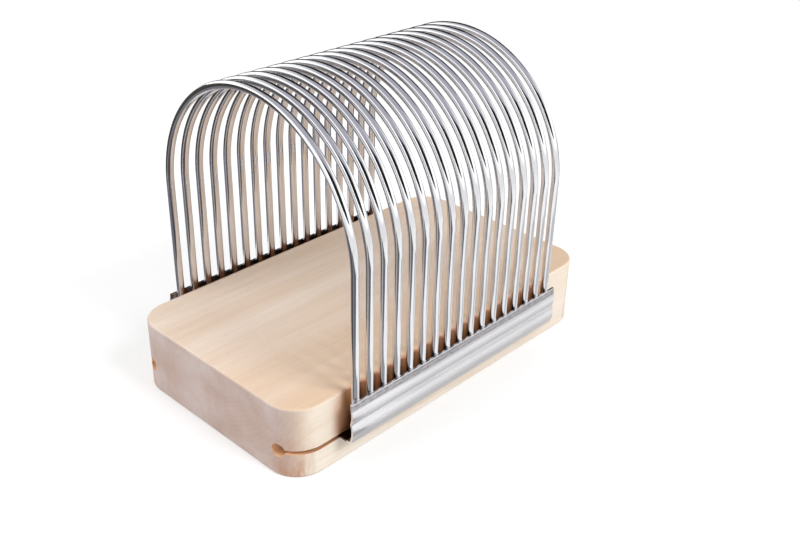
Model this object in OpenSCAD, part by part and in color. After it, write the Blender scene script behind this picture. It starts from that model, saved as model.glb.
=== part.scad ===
// Slicing guide for french fries: a wooden board, and a cage of wire hoops on two rails that
// slides along grooves in the board's long sides. The knife passes between the hoops.
//
// Frame: +Z up, the board's length along Y with its open groove ends at -Y, and the origin
// under the middle of the board, on the surface that it stands on.

/* [Board] */
// Width of the board, across X
board_w = 120; // [110:1:140]
// Length of the board, along Y
board_l = 214; // [200:1:240]
// Thickness of the board
board_h = 38; // [34:0.5:44]
// Radius of the board's four upright corners
corner_r = 16.2; // [10:0.2:24]
// Radius that the board's edges are rounded over to
edge_r = 1.2; // [0.6:0.1:2.4]

/* [Grooves] */
// Height of the grooves' middle above the table
groove_z = 14.2; // [12:0.2:16]
// Diameter of the round bore at the bottom of each groove
bore_d = 7; // [5:0.5:9]
// Distance of the bore's middle from the board's side
bore_depth = 12; // [8:0.5:16]
// Height of the slit that joins the bore to the board's side
slit_h = 2; // [1.6:0.1:3]
// Room between the rod's back end and the blind end of its bore
stop_gap = 0.8; // [0.3:0.1:3]

/* [Hoops] */
// Number of wire hoops
hoop_count = 17; // [9:1:19]
// Distance from one hoop to the next
hoop_pitch = 8.75; // [7:0.05:8.8]
// Diameter of the wire
wire_d = 4; // [3:0.1:4.4]
// Radius of the arch, to the middle of the wire
arch_r = 65.4; // [65:0.1:75]
// Height of the arch's top, to the middle of the wire
arch_top = 163; // [150:0.5:175]
// Height of the wires' cut ends, behind the rails
wire_foot_z = 17.6; // [17.4:0.2:22]
// Place of the middle of the row of hoops, along Y from the board's middle
hoop_shift = -5; // [-10:0.1:0]

/* [Rails] */
// Thickness of the rails' sheet
sheet_t = 1; // [0.8:0.1:1.2]
// Height of the rails' top edge
rail_top = 35.5; // [34:0.1:37]
// How far the rails run on past the first and the last hoop
rail_overhang = 5; // [4:0.1:8]
// Radius of the ribs pressed into the rails, to the middle of the sheet
rib_r = 11.5; // [10:0.5:12]
// Radius of the blend beside each rib, to the middle of the sheet
blend_r = 1; // [0.8:0.1:1.2]
// Height of the flat land below each rib
land_h = 0.2; // [0.2:0.1:0.4]
// Radius of the bend between the upright wall and the flange, to the middle of the sheet
bend_r = 1.2; // [1:0.1:1.4]
// Depth that the wires sink into the sheet where they are welded
weld_sink = 0.05; // [0.02:0.01:0.1]

/* [Runner rods] */
// Diameter of the rod on each rail's inner edge
rod_d = 6.5; // [4:0.1:6.6]
// Length of flange that sits in the rod's slot
slot_depth = 3; // [2:0.5:3.2]
// Bevel on the rods' ends
rod_bevel = 0.6; // [0.3:0.1:1]

/* [Hidden] */

$fn = 96;
// How far a cut runs past the face that it leaves by.
CUT = 1;

function hoop_name(i) = str("hoop_", i < 10 ? "0" : "", i);

hoop_span = (hoop_count - 1) * hoop_pitch;
hoop_y0 = hoop_shift - hoop_span / 2;
rail_l = hoop_span + 2 * rail_overhang;
rail_y0 = hoop_y0 - rail_overhang;
rail_y1 = rail_y0 + rail_l;
arch_z = arch_top - arch_r;

bore_x = board_w / 2 - bore_depth;
groove_end = rail_y1 + stop_gap;
groove_l = groove_end + board_l / 2 + CUT;

// The rail's section, along the middle of the sheet: an upright strip, two shallow ribs with a
// small blend above and below each and a land below it, a bend, and a level flange. The ribs'
// flanks lean by the angle of a 44-117-125 triangle, whose cosine and sine are LEAN.
LEAN = [0.936, 0.352];
sheet_x = arch_r + wire_d / 2 - weld_sink + sheet_t / 2;
blend_x = sheet_x + blend_r;
rib_x = blend_x - LEAN[0] * (rib_r + blend_r);
rib_half_h = LEAN[1] * (rib_r + blend_r);
flange_x = sheet_x - bend_r;
bend_z = groove_z + bend_r;
lower_rib_z = bend_z + land_h + rib_half_h;
upper_rib_z = lower_rib_z + 2 * rib_half_h + land_h;
flange_tip_x = bore_x + rod_d / 2 - slot_depth;

// Copies its child at the board's right (side 1) or left (side -1).
module on_side(side) {
    mirror([side < 0 ? 1 : 0, 0, 0])
        children();
}

// Runs a 2D section, drawn in X and Z, along Y from y0 over a length.
module run_along_y(y0, length) {
    translate([0, y0 + length, 0])
        rotate([90, 0, 0])
            linear_extrude(height = length)
                children();
}

// A round bar along Y from y0 over a length, about an axis at x and z.
module bar_along_y(x, z, radius, y0, length) {
    translate([x, y0 + length, z])
        rotate([90, 0, 0])
            cylinder(r = radius, h = length);
}

// A rectangle with its four corners rounded by arcs, standing on the X axis.
module soft_rectangle(width, height, radius) {
    translate([-width / 2, radius])
        square([width, height - 2 * radius]);
    translate([radius - width / 2, 0])
        square([width - 2 * radius, height]);
    for (x = [radius - width / 2, width / 2 - radius], z = [radius, height - radius])
        translate([x, z])
            circle(r = radius);
}

// The point where a rib's arc ends, above (up 1) or below (up -1) its middle height, on the
// side that is off outside the sheet's middle.
function rib_end(z, off, up) =
    [rib_x + LEAN[0] * (rib_r + off), z + up * LEAN[1] * (rib_r + off)];

// The arc of one rib, as the right-hand slice of a bar along Y.
module rib_slice(z, radius, y0, length) {
    intersection() {
        bar_along_y(rib_x, z, radius, y0, length);
        translate([rib_x, y0 - CUT, z - rib_half_h])
            cube([radius + CUT, length + 2 * CUT, 2 * rib_half_h]);
    }
}

// Fills all that lies inside one side of the bent sheet. The side is off outside the sheet's
// middle. The fill runs from the left limit, up to the top limit, and along Y from y0.
module inside_of_sheet(off, left, top, y0, length) {
    side_x = sheet_x + off;
    difference() {
        union() {
            run_along_y(y0, length)
                polygon([
                    [left, top],
                    [side_x, top],
                    [side_x, upper_rib_z + rib_half_h],
                    [blend_x, upper_rib_z + rib_half_h],
                    rib_end(upper_rib_z, off, 1),
                    rib_end(upper_rib_z, off, -1),
                    [blend_x, upper_rib_z - rib_half_h],
                    [side_x, upper_rib_z - rib_half_h],
                    [side_x, lower_rib_z + rib_half_h],
                    [blend_x, lower_rib_z + rib_half_h],
                    rib_end(lower_rib_z, off, 1),
                    rib_end(lower_rib_z, off, -1),
                    [blend_x, lower_rib_z - rib_half_h],
                    [side_x, lower_rib_z - rib_half_h],
                    [side_x, bend_z],
                    [flange_x, bend_z],
                    [flange_x, groove_z - off],
                    [left, groove_z - off]
                ]);
            for (z = [lower_rib_z, upper_rib_z])
                rib_slice(z, rib_r + off, y0, length);
            bar_along_y(flange_x, bend_z, bend_r + off, y0, length);
        }
        for (rib = [lower_rib_z, upper_rib_z], up = [-1, 1])
            bar_along_y(blend_x, rib + up * rib_half_h, blend_r - off, y0 - CUT, length + 2 * CUT);
    }
}

// The right rail: the fill inside the sheet's outer face, less that inside its inner face.
module rail() {
    difference() {
        inside_of_sheet(sheet_t / 2, flange_tip_x, rail_top, rail_y0, rail_l);
        inside_of_sheet(-sheet_t / 2, flange_tip_x - CUT, rail_top + CUT,
                        rail_y0 - CUT, rail_l + 2 * CUT);
    }
}

// A rod with bevelled ends, slotted to take the flange's edge.
module runner_rod() {
    difference() {
        translate([bore_x, rail_y0, groove_z])
            rotate([-90, 0, 0])
                rotate_extrude()
                    polygon([
                        [0, 0],
                        [rod_d / 2 - rod_bevel, 0],
                        [rod_d / 2, rod_bevel],
                        [rod_d / 2, rail_l - rod_bevel],
                        [rod_d / 2 - rod_bevel, rail_l],
                        [0, rail_l]
                    ]);
        translate([flange_tip_x, rail_y0 - CUT, groove_z - sheet_t / 2])
            cube([slot_depth + CUT, rail_l + 2 * CUT, sheet_t]);
    }
}

// One upright corner of the board, as a turned post with rounded rims.
module corner_post() {
    rotate_extrude()
        intersection() {
            soft_rectangle(2 * corner_r, board_h, edge_r);
            square([corner_r, board_h]);
        }
}

// The whole block before the grooves are cut.
module block() {
    post_x = board_w / 2 - corner_r;
    post_y = board_l / 2 - corner_r;
    run_along_y(-post_y, 2 * post_y)
        soft_rectangle(board_w, board_h, edge_r);
    rotate([0, 0, 90])
        run_along_y(-post_x, 2 * post_x)
            soft_rectangle(board_l, board_h, edge_r);
    for (x = [-post_x, post_x], y = [-post_y, post_y])
        translate([x, y, 0])
            corner_post();
}

// Keyhole groove: a bore drilled from the front end, opened to the side by a slit.
module groove() {
    bar_along_y(bore_x, groove_z, bore_d / 2, groove_end - groove_l, groove_l);
    translate([bore_x, groove_end - groove_l, groove_z - slit_h / 2])
        cube([bore_depth + CUT, groove_l, slit_h]);
}

module board() {
    color("burlywood")
        difference() {
            block();
            for (side = [-1, 1])
                on_side(side)
                    groove();
        }
}

module left_rail() {
    color("lightgray")
        on_side(-1)
            rail();
}

module right_rail() {
    color("lightgray")
        on_side(1)
            rail();
}

module left_runner_rod() {
    color("gainsboro")
        on_side(-1)
            runner_rod();
}

module right_runner_rod() {
    color("gainsboro")
        on_side(1)
            runner_rod();
}

// One bent wire: two straight legs and a half-circle arch.
module hoop(i) {
    color("silver")
        translate([0, hoop_y0 + (i - 1) * hoop_pitch, 0]) {
            translate([0, 0, arch_z])
                rotate([90, 0, 0])
                    rotate_extrude(angle = 180)
                        translate([arch_r, 0])
                            circle(d = wire_d);
            for (x = [-arch_r, arch_r])
                translate([x, 0, wire_foot_z])
                    cylinder(d = wire_d, h = arch_z - wire_foot_z);
        }
}

board();
left_rail();
right_rail();
left_runner_rod();
right_runner_rod();
for (i = [1 : hoop_count])
    hoop(i);
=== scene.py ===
"""Looks of a french fry cutting guide: a beech block, and a cage of wire hoops that slides on it.

Every length is in metres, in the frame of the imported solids: +Z up, the block along Y, and its
open groove ends at -Y.
"""

import math

import bmesh
import bpy
from mathutils import Matrix, Vector


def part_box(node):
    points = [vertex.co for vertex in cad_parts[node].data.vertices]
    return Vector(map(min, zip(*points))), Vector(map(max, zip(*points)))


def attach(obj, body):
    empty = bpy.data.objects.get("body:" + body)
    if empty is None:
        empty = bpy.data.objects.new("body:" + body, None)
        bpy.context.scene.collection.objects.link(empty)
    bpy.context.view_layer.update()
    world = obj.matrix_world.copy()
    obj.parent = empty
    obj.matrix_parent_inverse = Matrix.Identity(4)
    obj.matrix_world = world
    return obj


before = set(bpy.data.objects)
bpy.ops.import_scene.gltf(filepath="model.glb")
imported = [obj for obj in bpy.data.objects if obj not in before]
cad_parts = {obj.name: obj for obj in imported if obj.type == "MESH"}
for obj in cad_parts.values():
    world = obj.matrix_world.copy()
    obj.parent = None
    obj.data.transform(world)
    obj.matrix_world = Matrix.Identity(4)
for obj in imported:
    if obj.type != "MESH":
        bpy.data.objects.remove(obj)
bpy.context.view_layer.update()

MM = 0.001
WHITE = (1.0, 1.0, 1.0, 1.0)

# The photograph's width and the camera that was solved for it
IMAGE_W = 800
SENSOR_W_MM = 36.0
FOCAL_PX = 1018.4
CAMERA_AZIMUTH = math.radians(43.14)
CAMERA_ELEVATION = math.radians(28.78)
CAMERA_ROLL = math.radians(1.32)
# The camera's place, from the foot of the middle of the block's front end
CAMERA_FROM_FRONT = Vector((331.8, -225.0, 306.0)) * MM

BOARD_LOW, BOARD_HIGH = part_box("board")
RAIL_LOW, RAIL_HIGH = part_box("right_rail")
ROD_LOW, ROD_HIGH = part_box("right_runner_rod")
HOOPS = sorted(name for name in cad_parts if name.startswith("hoop_"))

# The right-hand groove, which holds the rod. Its bore and slit measure what part.scad says.
GROOVE_X = (ROD_LOW.x + ROD_HIGH.x) / 2
GROOVE_Z = (ROD_LOW.z + ROD_HIGH.z) / 2
GROOVE_END = ROD_HIGH.y + 0.8 * MM
BORE_R = 3.5 * MM
SLIT_HALF = 1.0 * MM
# How far past the grooves' walls their colour reaches
WALL_SLACK = 0.05 * MM


# ---------------------------------------------------------------- shader helpers

class Tree:
    """A material's or the world's node tree, with a short call for each kind of node."""

    def __init__(self, tree, output_kind):
        self.tree = tree
        tree.nodes.clear()
        self.output = self.add(output_kind)

    def add(self, kind, **settings):
        node = self.tree.nodes.new(kind)
        for name, value in settings.items():
            setattr(node, name, value)
        return node

    def plug(self, value, socket):
        """Sets a socket to a value, or links another node's output to it."""
        if isinstance(value, bpy.types.NodeSocket):
            self.tree.links.new(value, socket)
        else:
            socket.default_value = value

    def show(self, surface):
        """Makes a shader's output the tree's result."""
        self.plug(surface, self.output.inputs["Surface"])

    def place(self):
        """A point's place in its object's own frame, which is the frame of the solids."""
        return self.add("ShaderNodeTexCoord").outputs["Object"]

    def axes(self, vector):
        """A vector's X, Y and Z."""
        node = self.add("ShaderNodeSeparateXYZ")
        self.plug(vector, node.inputs[0])
        return node.outputs

    def math(self, operation, a, b=0.0):
        node = self.add("ShaderNodeMath", operation=operation)
        self.plug(a, node.inputs[0])
        self.plug(b, node.inputs[1])
        return node.outputs[0]

    def absolute(self, value):
        """The value without its sign, for what is the same on opposite sides."""
        return self.math("ABSOLUTE", value)

    def product(self, result, *factors):
        for factor in factors:
            result = self.math("MULTIPLY", result, factor)
        return result

    def distance(self, a, b):
        """How far away a point is that lies off by a in one direction and by b square to it."""
        return self.math("SQRT", self.math("ADD", self.product(a, a), self.product(b, b)))

    def remap(self, value, low, high, to_low=0.0, to_high=1.0):
        """Maps low..high to to_low..to_high, held at both ends."""
        node = self.add("ShaderNodeMapRange")
        for number, socket in zip((value, low, high, to_low, to_high), node.inputs):
            self.plug(number, socket)
        return node.outputs[0]

    def band(self, value, start, full_from, full_to, end):
        """1 from full_from to full_to, fading to 0 at start and at end."""
        return self.product(self.remap(value, start, full_from), self.remap(value, end, full_to))

    def mix(self, factor, a, b):
        node = self.add("ShaderNodeMix", data_type="RGBA")
        self.plug(factor, node.inputs["Factor"])
        self.plug(a, node.inputs["A"])
        self.plug(b, node.inputs["B"])
        return node.outputs["Result"]

    def mix_shaders(self, factor, a, b):
        node = self.add("ShaderNodeMixShader")
        for value, socket in zip((factor, a, b), node.inputs):
            self.plug(value, socket)
        return node.outputs[0]

    def noise(self, place, scale, detail=3.0, roughness=0.5):
        """Noise whose grains measure about 1 / scale metres along X, Y and Z."""
        stretch = self.add("ShaderNodeMapping")
        self.plug(place, stretch.inputs["Vector"])
        stretch.inputs["Scale"].default_value = scale
        node = self.add("ShaderNodeTexNoise")
        self.plug(stretch.outputs[0], node.inputs["Vector"])
        node.inputs["Scale"].default_value = 1.0
        node.inputs["Detail"].default_value = detail
        node.inputs["Roughness"].default_value = roughness
        return node.outputs["Fac"]

    def bump(self, height, distance):
        node = self.add("ShaderNodeBump")
        node.inputs["Strength"].default_value = 1.0
        node.inputs["Distance"].default_value = distance
        self.plug(height, node.inputs["Height"])
        return node.outputs[0]

    def shows_background(self):
        """1 for a ray that shows the background: from the camera, off metal or through glass."""
        rays = self.add("ShaderNodeLightPath").outputs
        seen = self.math("MAXIMUM", rays["Is Camera Ray"], rays["Is Glossy Ray"])
        return self.math("MAXIMUM", seen, rays["Is Transmission Ray"])


def srgb(red, green, blue):
    """Linear colour of an 8-bit screen colour."""
    def linear(value):
        value /= 255
        return value / 12.92 if value <= 0.04045 else ((value + 0.055) / 1.055) ** 2.4
    return (linear(red), linear(green), linear(blue), 1.0)


def new_material(name):
    """A material with one Principled shader. Returns the material, its tree and the shader."""
    material = bpy.data.materials.new(name)
    material.use_nodes = True
    tree = Tree(material.node_tree, "ShaderNodeOutputMaterial")
    shader = tree.add("ShaderNodeBsdfPrincipled")
    tree.show(shader.outputs[0])
    return material, tree, shader


# ---------------------------------------------------------------- materials

def beech_material():
    """Solid beech: growth rings round a pith above the block, so the long faces show streaks
    along Y and the two ends show arcs. The wood is browner on the lower half of the corners.
    Painted shade darkens the sides behind the rails and, by ambient occlusion, the gaps behind
    them; the sides are painted paler as painted light. The grooves' cut walls are a darker,
    warmer wood, partly painted shade, and painted light makes them paler near the open ends."""
    material, tree, shader = new_material("beech")
    place = tree.place()
    x, y, z = tree.axes(place)
    normal = tree.axes(tree.add("ShaderNodeTexCoord").outputs["Normal"])
    faces_side = tree.absolute(normal["X"])
    faces_end = tree.absolute(normal["Y"])

    # Growth rings
    pith_x, pith_z = -6 * MM, 60 * MM
    ring_width, end_line_width = 5.2 * MM, 2.6 * MM
    wander = tree.noise(place, (9, 2.2, 9), 2.0)
    radius = tree.distance(tree.math("SUBTRACT", x, pith_x), tree.math("SUBTRACT", z, pith_z))
    radius = tree.math("ADD", radius, tree.product(wander, 26 * MM))
    clouds = tree.noise(place, (24, 9, 34), 5.0, 0.62)

    def rings(width, sharpness):
        """Rises along each ring, steeply towards its end, as late wood darkens."""
        return tree.math("POWER", tree.math("FRACT", tree.product(radius, 1 / width)), sharpness)

    late_wood = tree.product(rings(ring_width, 4.0), tree.remap(clouds, 0.4, 0.6))
    end_lines = tree.product(rings(end_line_width, 5.0), tree.remap(clouds, 0.46, 0.66))

    # Fibres and flecks
    fibres = tree.noise(place, (900, 26, 900), 4.0, 0.6)
    streaks = tree.noise(place, (46, 3.2, 46), 4.0, 0.6)
    flecks = tree.remap(tree.noise(place, (2600, 300, 2600), 1.0), 0.66, 0.74)
    rays = tree.noise(place, (1500, 400, 160), 2.0)

    # Long faces: tanner towards the right; the two sides are painted paler, as painted light
    pale_streaks = tree.remap(streaks, 0.36, 0.64)
    long_grain = tree.mix(pale_streaks, srgb(226, 200, 176), srgb(239, 222, 207))
    tan = tree.remap(tree.math("ADD", x, tree.product(wander, 30 * MM)), 25 * MM, 65 * MM)
    long_grain = tree.mix(tree.product(tan, 0.60), long_grain, srgb(220, 188, 156))
    side_grain_painted_light = tree.mix(pale_streaks, srgb(246, 230, 211), srgb(252, 243, 230))
    long_grain = tree.mix(tree.remap(faces_side, 0.55, 0.98), long_grain, side_grain_painted_light)
    long_grain = tree.mix(tree.product(late_wood, 0.20), long_grain, srgb(214, 172, 136))

    # Ends
    end_grain = tree.mix(tree.remap(clouds, 0.38, 0.62), srgb(219, 203, 198), srgb(204, 178, 167))
    end_grain = tree.mix(tree.product(end_lines, 0.36), end_grain, srgb(172, 142, 126))
    end_grain = tree.mix(tree.remap(rays, 0.45, 0.8, 0.0, 0.35), end_grain, srgb(196, 166, 150))

    colour = tree.mix(tree.remap(faces_end, 0.45, 0.95), long_grain, end_grain)
    colour = tree.mix(tree.remap(fibres, 0.35, 0.75, 0.0, 0.16), colour, srgb(205, 168, 136))
    colour = tree.mix(tree.product(flecks, 0.25), colour, srgb(176, 130, 98))

    # Patches on the lower half of the rounded corners
    turned = tree.product(tree.remap(faces_side, 0.08, 0.45), tree.remap(faces_end, 0.15, 0.5))
    patches = tree.remap(tree.noise(place, (260, 260, 70), 3.0, 0.65), 0.34, 0.62)
    warm = tree.product(turned, tree.remap(z, 24 * MM, 4 * MM), patches, 0.75)
    colour = tree.mix(warm, colour, srgb(196, 143, 110))

    # Painted shade on the sides behind the rails, where the gap between rail and block lies in
    # shade
    beside_rail = tree.band(y, RAIL_LOW.y - 1 * MM, RAIL_LOW.y + 12 * MM,
                            RAIL_HIGH.y - 12 * MM, RAIL_HIGH.y + 1 * MM)
    on_side = tree.remap(tree.absolute(x), BOARD_HIGH.x - 2.5 * MM, BOARD_HIGH.x - 0.2 * MM)
    painted_rail_gap_shade = tree.product(beside_rail, on_side, tree.remap(z, 15 * MM, 27 * MM),
                          tree.remap(streaks, 0.35, 0.6, 0.20, 0.50))
    colour = tree.mix(painted_rail_gap_shade, colour, srgb(184, 122, 84))

    # In the gaps behind the rails light comes off other wood, so they are tan and then dark
    gap = tree.add("ShaderNodeAmbientOcclusion", samples=8)
    gap.inputs["Distance"].default_value = 11 * MM
    above_slit = tree.remap(z, 13 * MM, 16 * MM)
    for mouth, bottom, shade in ((0.88, 0.50, srgb(204, 138, 90)),
                                 (0.50, 0.12, srgb(62, 30, 15))):
        depth = tree.remap(gap.outputs["AO"], mouth, bottom)
        colour = tree.mix(tree.product(depth, above_slit), colour, shade)

    # The grooves' walls: a darker, warmer wood, partly painted shade, and painted light makes
    # them paler near the open ends
    aside = tree.math("SUBTRACT", tree.absolute(x), GROOVE_X)
    up = tree.math("SUBTRACT", z, GROOVE_Z)
    in_bore = tree.math("LESS_THAN", tree.distance(aside, up), BORE_R + WALL_SLACK)
    in_slit = tree.product(tree.math("GREATER_THAN", aside, 0.0),
                           tree.math("LESS_THAN", tree.absolute(up), SLIT_HALF + WALL_SLACK))
    in_groove = tree.product(tree.math("MAXIMUM", in_bore, in_slit),
                             tree.math("LESS_THAN", y, GROOVE_END + WALL_SLACK))
    cut_wood_and_shade = tree.mix(tree.remap(fibres, 0.3, 0.7), srgb(214, 164, 124), srgb(190, 136, 98))
    painted_light_near_mouth = tree.remap(y, BOARD_LOW.y + 12 * MM, BOARD_LOW.y + 2 * MM)
    cut_wood_and_shade = tree.mix(painted_light_near_mouth, cut_wood_and_shade, srgb(244, 198, 156))
    colour = tree.mix(in_groove, colour, cut_wood_and_shade)

    tree.plug(colour, shader.inputs["Base Color"])
    tree.plug(tree.remap(fibres, 0.3, 0.7, 0.48, 0.62), shader.inputs["Roughness"])
    relief = tree.math("ADD", tree.product(fibres, 0.7), tree.product(flecks, -0.5))
    tree.plug(tree.bump(relief, 0.06 * MM), shader.inputs["Normal"])
    return material


def polished_wire_material():
    """Mirror-polished stainless wire, with very faint marks from its drawing and bending."""
    material, tree, shader = new_material("polished_wire")
    marks = tree.noise(tree.place(), (60, 60, 60), 3.0, 0.6)
    tree.plug(tree.mix(tree.remap(marks, 0.35, 0.7), srgb(229, 229, 231), srgb(222, 222, 225)),
              shader.inputs["Base Color"])
    shader.inputs["Metallic"].default_value = 1.0
    tree.plug(tree.remap(marks, 0.3, 0.75, 0.08, 0.12), shader.inputs["Roughness"])
    return material


def rail_material():
    """Satin rolled sheet: fine lines along Y, a strip along the top edge darkened as painted
    shade, with a darker line in it, and small nicks on the lower rib. Painted shade darkens the
    part in the groove."""
    material, tree, shader = new_material("rail_sheet")
    place = tree.place()
    x, _, z = tree.axes(place)
    out = tree.absolute(x)
    top = RAIL_HIGH.z
    lines = tree.noise(place, (2200, 18, 2200), 3.0, 0.6)
    patches = tree.noise(place, (90, 22, 90))
    spots = tree.noise(place, (700, 420, 700), 3.0, 0.6)
    colour = tree.mix(tree.remap(patches, 0.3, 0.7), srgb(236, 234, 235), srgb(225, 225, 229))

    # Painted shade: the strip along the top edge is darker, which dims its reflections
    strip = tree.band(z, top - 4.0 * MM, top - 3.2 * MM, top - 0.7 * MM, top - 0.3 * MM)
    painted_shade_strip = tree.mix(tree.remap(spots, 0.35, 0.65), srgb(190, 188, 191), srgb(160, 158, 162))
    colour = tree.mix(strip, colour, painted_shade_strip)

    # A darker line along the top edge, in patches
    dark_line_band = tree.band(z, top - 2.0 * MM, top - 1.5 * MM, top - 0.8 * MM, top - 0.5 * MM)
    dark_line = tree.product(dark_line_band, tree.remap(spots, 0.35, 0.6, 0.1, 0.6))
    colour = tree.mix(dark_line, colour, srgb(132, 124, 120))

    on_crest = tree.remap(out, RAIL_HIGH.x - 0.15 * MM, RAIL_HIGH.x - 0.03 * MM)
    on_lower_rib = tree.remap(z, RAIL_LOW.z + 11 * MM, RAIL_LOW.z + 10 * MM)
    nicks = tree.product(tree.remap(tree.noise(place, (500, 130, 500)), 0.63, 0.68),
                         on_crest, on_lower_rib)
    colour = tree.mix(nicks, colour, srgb(240, 240, 241))

    # Painted shade: the part of the rail in the groove is darkened
    painted_groove_shade = tree.product(tree.remap(out, 65.5 * MM, 64.5 * MM),
                           tree.remap(z, 18.5 * MM, 17.5 * MM))
    colour = tree.mix(painted_groove_shade, colour, srgb(74, 62, 56))

    tree.plug(colour, shader.inputs["Base Color"])
    shader.inputs["Metallic"].default_value = 1.0
    tree.plug(tree.remap(lines, 0.3, 0.7, 0.21, 0.31), shader.inputs["Roughness"])
    relief = tree.math("ADD", lines, tree.product(nicks, -3.0))
    tree.plug(tree.bump(relief, 0.02 * MM), shader.inputs["Normal"])
    return material


def rod_material():
    """Drawn steel rod, worn along Y by the wood that it runs in."""
    material, tree, shader = new_material("runner_steel")
    lines = tree.noise(tree.place(), (1800, 12, 1800), 3.0, 0.6)
    tree.plug(tree.mix(lines, srgb(205, 205, 207), srgb(186, 186, 189)),
              shader.inputs["Base Color"])
    shader.inputs["Metallic"].default_value = 1.0
    tree.plug(tree.remap(lines, 0.3, 0.7, 0.22, 0.34), shader.inputs["Roughness"])
    return material


def floor_material():
    """White floor that keeps the object's shadow, and is plain white away from the object. Metal
    sees it dim under the block and in line with it, where little light reaches the floor."""
    glow, dim_share = 0.43, 0.10
    material, tree, shader = new_material("floor")
    shader.inputs["Base Color"].default_value = (0.6, 0.6, 0.6, 1.0)
    shader.inputs["Roughness"].default_value = 0.9
    shader.inputs["Specular IOR Level"].default_value = 0.0
    shader.inputs["Emission Color"].default_value = WHITE
    place = tree.place()
    seen = tree.shows_background()
    out = tree.absolute(tree.axes(place)["X"])
    beside = tree.remap(out, 74 * MM, 100 * MM, dim_share, 1.0)
    camera_ray = tree.add("ShaderNodeLightPath").outputs["Is Camera Ray"]
    strength = tree.product(seen, tree.math("MAXIMUM", beside, camera_ray), glow)
    tree.plug(strength, shader.inputs["Emission Strength"])

    away = tree.add("ShaderNodeVectorMath", operation="LENGTH")
    tree.plug(place, away.inputs[0])
    plain = tree.product(seen, tree.remap(away.outputs["Value"], 250 * MM, 700 * MM))
    white = tree.add("ShaderNodeEmission")
    tree.show(tree.mix_shaders(plain, shader.outputs[0], white.outputs[0]))
    return material


def card_material(name, colour):
    """Felt of the cards that stand round the set."""
    material, _, shader = new_material(name)
    shader.inputs["Base Color"].default_value = (0.0, 0.0, 0.0, 1.0)
    shader.inputs["Specular IOR Level"].default_value = 0.0
    shader.inputs["Emission Color"].default_value = (*colour, 1.0)
    shader.inputs["Emission Strength"].default_value = 1.0
    return material


# ---------------------------------------------------------------- the object

def place_mesh(data, material):
    """Puts a mesh in the scene as an object of the same name, with one material."""
    data.materials.append(material)
    item = bpy.data.objects.new(data.name, data)
    bpy.context.scene.collection.objects.link(item)
    return item


def dress_nodes():
    """Gives every node of the CAD its finish."""
    finishes = {
        "board": beech_material(),
        "left_rail": rail_material(),
        "left_runner_rod": rod_material(),
        "hoop": polished_wire_material(),
    }
    finishes["right_rail"] = finishes["left_rail"]
    finishes["right_runner_rod"] = finishes["left_runner_rod"]
    for name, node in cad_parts.items():
        material = finishes["hoop"] if name in HOOPS else finishes[name]
        node.data.materials.clear()
        node.data.materials.append(material)


def add_fillet(mesh, hoop, side, height):
    """Adds the weld of one leg of a hoop, on the right (side 1) or the left (side -1). It is a
    sheet that falls from the wire to the rail's top edge in a hollow curve."""
    columns, rows = 14, 8
    width_share = 0.75  # of the wire's width
    past_wire = 0.6 * MM
    sunk_in_wire, sunk_in_rail = 0.15 * MM, 0.05 * MM

    low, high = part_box(hoop)
    middle_y = (low.y + high.y) / 2
    wire_r = (high.y - low.y) / 2
    leg_x = high.x - wire_r
    outer_x = high.x + past_wire
    grid = []
    for column in range(columns + 1):
        across = -1 + 2 * column / columns
        off_middle = width_share * wire_r * across
        wire_x = leg_x + math.sqrt(wire_r ** 2 - off_middle ** 2)
        rise = height * math.sqrt(max(0.0, 1 - across ** 2))
        line = []
        for row in range(rows + 1):
            turn = row / rows * math.pi / 2
            x = wire_x - sunk_in_wire + (outer_x - wire_x) * (1 - math.sin(turn))
            z = RAIL_HIGH.z - sunk_in_rail + rise * (1 - math.cos(turn))
            line.append(mesh.verts.new((side * x, middle_y + off_middle, z)))
        grid.append(line)
    for column in range(columns):
        for row in range(rows):
            corners = [grid[column][row], grid[column + 1][row],
                       grid[column + 1][row + 1], grid[column][row + 1]]
            mesh.faces.new(corners if side > 0 else corners[::-1])


def make_weld_fillets():
    """The welds that fill the corners between the wires and the rails' top edges. Their heights
    vary from wire to wire."""
    mean_height, height_change = 0.6 * MM, 0.15 * MM
    mesh = bmesh.new()
    for number, hoop in enumerate(HOOPS):
        for side in (-1, 1):
            height = mean_height + height_change * math.sin(number * 2.3 + side)
            add_fillet(mesh, hoop, side, height)
    bmesh.ops.recalc_face_normals(mesh, faces=mesh.faces)

    data = bpy.data.meshes.new("weld_fillets")
    mesh.to_mesh(data)
    mesh.free()
    for face in data.polygons:
        face.use_smooth = True
    fillets = place_mesh(data, polished_wire_material())
    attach(fillets, "cage")


# ---------------------------------------------------------------- stage

def rectangle(x_low, x_high, y_low, y_high, z):
    """Points, no edges and one face of a level rectangle."""
    points = [(x_low, y_low, z), (x_high, y_low, z), (x_high, y_high, z), (x_low, y_high, z)]
    return points, [], [(0, 1, 2, 3)]


def round_strip(start, end, rows, steps=48):
    """Points, no edges and faces of a strip round the origin, from one azimuth to another in
    degrees, through rows of (distance, height)."""
    points = []
    for step in range(steps + 1):
        azimuth = math.radians(start + (end - start) * step / steps)
        points += [(distance * math.cos(azimuth), distance * math.sin(azimuth), height)
                   for distance, height in rows]
    width = len(rows)
    faces = [(i * width + j, i * width + j + 1, (i + 1) * width + j + 1, (i + 1) * width + j)
             for i in range(steps) for j in range(width - 1)]
    return points, [], faces


def make_floor():
    half_size = 6.0
    data = bpy.data.meshes.new("floor")
    data.from_pydata(*rectangle(-half_size, half_size, -half_size, half_size, 0.0))
    floor = place_mesh(data, floor_material())


def make_card(name, colour, shape):
    """A card seen only in the metal, as in a photographer's studio."""
    data = bpy.data.meshes.new(name)
    data.from_pydata(*shape)
    card = place_mesh(data, card_material(name, colour))
    card.visible_camera = False
    card.visible_diffuse = False
    card.visible_shadow = False


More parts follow.
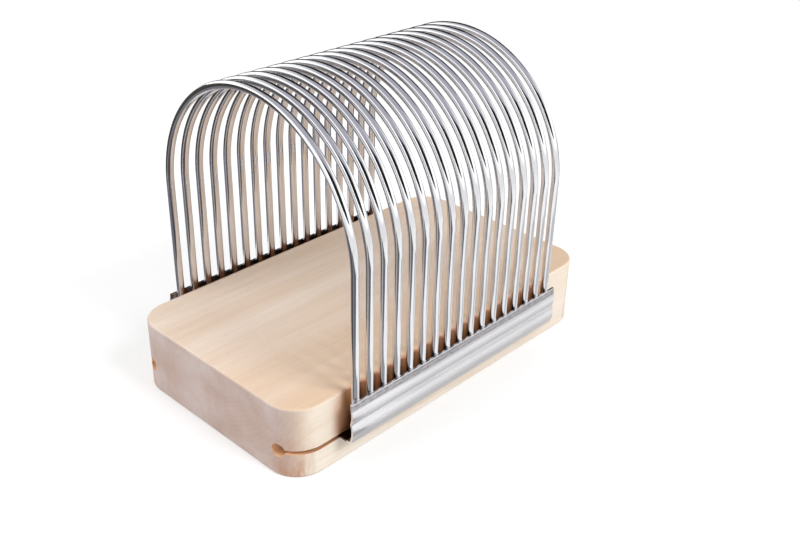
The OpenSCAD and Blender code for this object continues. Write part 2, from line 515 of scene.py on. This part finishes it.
def make_cards():
    """The cards give the wires and rails the dark and grey lines that the photograph shows."""
    black = (0.015, 0.015, 0.018)
    charcoal = (0.09, 0.086, 0.094)
    violet = (0.20, 0.20, 0.23)
    brown = (0.07, 0.062, 0.056)
    grey = (0.66, 0.66, 0.67)
    smoke = (0.17, 0.17, 0.18)
    mist = (0.36, 0.36, 0.37)
    # Heights of the level cards: the round ones lie over the rectangles
    low, high = 0.5 * MM, 1.0 * MM

    # Round the object, upright or level
    for name, colour, start, end, rows in (
            ("camera_card", black, -66, 0, [(1.0, 0.28), (1.0, 1.15)]),
            ("back_card", black, 84, 168, [(1.5, 0.12), (1.5, 2.6)]),
            ("left_card", violet, 178, 256, [(0.15, high), (0.32, high)]),
            ("far_left_card", brown, 178, 236, [(0.32, high), (1.5, high), (1.5, 0.38)]),
            ("right_card", black, 68, 100, [(0.19, high), (1.5, high)])):
        make_card(name, colour, round_strip(start, end, rows))

    # In front of the block and along its right side, level
    for name, colour, x_low, x_high, y_low, y_high in (
            ("front_card", charcoal, -0.074, 0.074, -0.42, -0.125),
            ("front_gap_card", mist, 0.074, 0.112, -0.42, -0.12),
            ("front_side_card", smoke, 0.112, 0.27, -0.42, -0.12),
            ("near_side_card", mist, 0.080, 0.135, -0.12, -0.055),
            ("side_card", grey, 0.122, 0.235, 0.01, 0.25)):
        make_card(name, colour, rectangle(x_low, x_high, y_low, y_high, low))


def make_world():
    """Soft even light, white where it is seen. Metal also sees a brighter band above the horizon
    and a dimmer zenith."""
    light_strength, band_strength = 0.58, 1.55
    zenith = (0.50, 0.50, 0.57, 1.0)
    world = bpy.data.worlds.new("studio")
    bpy.context.scene.world = world
    world.use_nodes = True
    tree = Tree(world.node_tree, "ShaderNodeOutputWorld")
    lit = tree.add("ShaderNodeBackground")
    lit.inputs["Strength"].default_value = light_strength
    lit.inputs["Color"].default_value = WHITE

    shown = tree.add("ShaderNodeBackground")
    height = tree.axes(tree.add("ShaderNodeTexCoord").outputs["Generated"])["Z"]
    tree.plug(tree.mix(tree.remap(height, 0.52, 0.80), WHITE, zenith), shown.inputs["Color"])
    glossy_ray = tree.add("ShaderNodeLightPath").outputs["Is Glossy Ray"]
    band = tree.product(tree.band(height, 0.0, 0.08, 0.42, 0.60), glossy_ray)
    tree.plug(tree.remap(band, 0.0, 1.0, 1.0, band_strength), shown.inputs["Strength"])
    tree.show(tree.mix_shaders(tree.shows_background(), lit.outputs[0], shown.outputs[0]))


def make_lights():
    """Two soft lamps, which the metal doesn't show."""
    aim = Vector((0, 0, 60)) * MM
    for name, place, size, power in (("key", (1.2, 0.2, 1.2), 0.6, 17),
                                     ("fill", (-0.7, -1.1, 1.1), 1.0, 11)):
        light = bpy.data.lights.new(name, "AREA")
        light.shape = "SQUARE"
        light.size = size
        light.energy = power
        lamp = bpy.data.objects.new(name, light)
        lamp.location = place
        lamp.rotation_euler = (aim - Vector(place)).to_track_quat("-Z", "Y").to_euler()
        lamp.visible_glossy = False
        bpy.context.scene.collection.objects.link(lamp)


def make_camera():
    """The camera at the photograph's place, tilted a little about its line of sight."""
    data = bpy.data.cameras.new("camera")
    data.sensor_width = SENSOR_W_MM
    data.lens = FOCAL_PX / IMAGE_W * SENSOR_W_MM
    camera = bpy.data.objects.new("camera", data)
    bpy.context.scene.collection.objects.link(camera)
    look = Vector((-math.sin(CAMERA_AZIMUTH) * math.cos(CAMERA_ELEVATION),
                   math.cos(CAMERA_AZIMUTH) * math.cos(CAMERA_ELEVATION),
                   -math.sin(CAMERA_ELEVATION)))
    right = Vector((math.cos(CAMERA_AZIMUTH), math.sin(CAMERA_AZIMUTH), 0))
    up = right.cross(look)
    rolled_right = math.cos(CAMERA_ROLL) * right + math.sin(CAMERA_ROLL) * up
    rolled_up = math.cos(CAMERA_ROLL) * up - math.sin(CAMERA_ROLL) * right
    turn = Matrix((rolled_right, rolled_up, -look)).transposed().to_4x4()
    place = CAMERA_FROM_FRONT + Vector((0, BOARD_LOW.y, 0))
    camera.matrix_world = Matrix.Translation(place) @ turn
    bpy.context.scene.camera = camera


bpy.context.scene.view_settings.view_transform = "Standard"
make_camera()
dress_nodes()
make_weld_fillets()
make_floor()
make_cards()
make_world()
make_lights()
